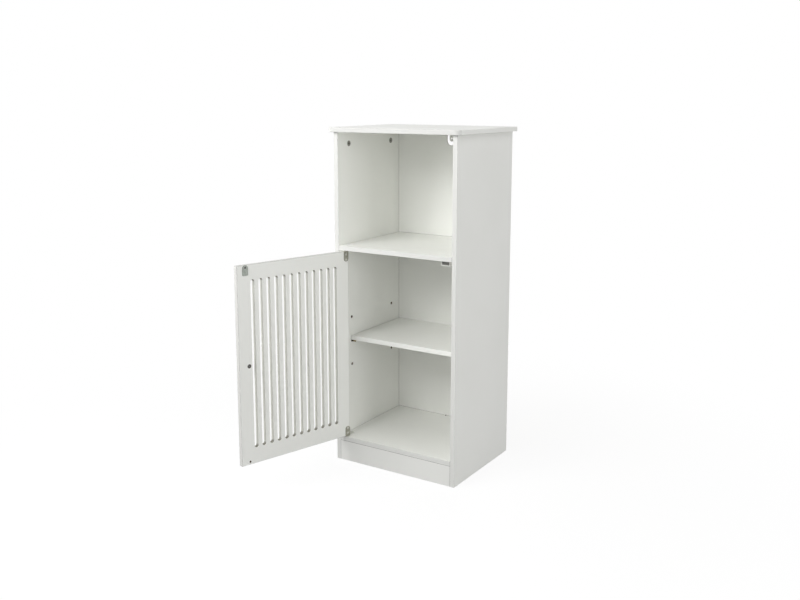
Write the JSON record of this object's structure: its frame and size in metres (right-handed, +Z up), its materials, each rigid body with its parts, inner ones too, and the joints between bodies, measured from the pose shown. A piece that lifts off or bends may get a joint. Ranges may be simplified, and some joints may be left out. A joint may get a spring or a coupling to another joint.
{
  "type": "slatted door cabinet",
  "caption": "Narrow free-standing cabinet in white laminated board: open bay on top, and below it a hinged door with upright slots over a bay with an adjustable shelf.",
  "frame": {"origin": "on the floor, in the cabinet's middle plane, at the middle of the plinth's foot", "axes": "+X to the cabinet's right seen from the front, +Y from its front to its back, +Z up"},
  "size_m": [0.4486, 0.5894, 0.87],
  "materials": {
    "white_laminate": "white melamine laminate on 12 mm board, eased edge band",
    "white_hardboard": "white foil on 3 mm fibreboard",
    "cam_zinc": "dark die-cast zinc",
    "hinge_steel": "zinc plated sheet steel, dull",
    "strike_steel": "zinc plated sheet steel, satin",
    "bracket_steel": "white powder coat on sheet steel",
    "screw_steel": "bright zinc plated steel",
    "pin_steel": "yellow zinc plated steel",
    "catch_plastic": "white moulded plastic",
    "magnet": "dark grey ferrite",
    "pole_steel": "mild steel, dull",
    "knob_nickel": "satin nickel",
    "beech": "plain beech"
  },
  "bodies": {
    "cabinet": {"top_panel": "white_laminate", "left_side_panel": "white_laminate", "right_side_panel": "white_laminate", "fixed_shelf": "white_laminate", "bottom_panel": "white_laminate", "plinth": "white_laminate", "back_panel": "white_hardboard", "back_panel_pin": "screw_steel", "shelf_pins": "pin_steel", "catch_housing": "catch_plastic", "catch_pole_plates": "pole_steel", "catch_magnet": "magnet", "catch_screws": "screw_steel", "wall_bracket": "bracket_steel", "wall_bracket_screw": "screw_steel", "upper_hinge_cabinet_leaf": "hinge_steel", "upper_hinge_pin": "hinge_steel", "upper_hinge_cabinet_screws": "screw_steel", "lower_hinge_cabinet_leaf": "hinge_steel", "lower_hinge_pin": "hinge_steel", "lower_hinge_cabinet_screws": "screw_steel", "top_cam_locks": "cam_zinc", "top_cam_bolts": "screw_steel", "top_dowels": "beech", "shelf_cam_locks": "cam_zinc", "shelf_cam_bolts": "screw_steel", "shelf_dowels": "beech", "bottom_cam_locks": "cam_zinc", "bottom_cam_bolts": "screw_steel", "bottom_dowels": "beech", "plinth_cam_locks": "cam_zinc", "plinth_cam_bolts": "screw_steel", "plinth_dowels": "beech"},
    "door": {"door": "white_laminate", "strike_plate": "strike_steel", "strike_screw": "screw_steel", "knob": "knob_nickel", "knob_screw": "screw_steel", "upper_hinge_door_leaf": "hinge_steel", "upper_hinge_door_screws": "screw_steel", "lower_hinge_door_leaf": "hinge_steel", "lower_hinge_door_screws": "screw_steel"},
    "shelf": {"adjustable_shelf": "white_laminate"}
  },
  "joints": [
    {"name": "door_hinge", "type": "hinge", "parent": "cabinet", "child": "door", "pos_m": [-0.1538, -0.0018, 0.3125], "axis": [0, 0, -1], "range_deg": [-106.6, 23.4]},
    {"name": "shelf_lift", "type": "slide", "parent": "cabinet", "child": "shelf", "axis": [0, 0, 1], "range_m": [0, 0.064]}
  ]
}
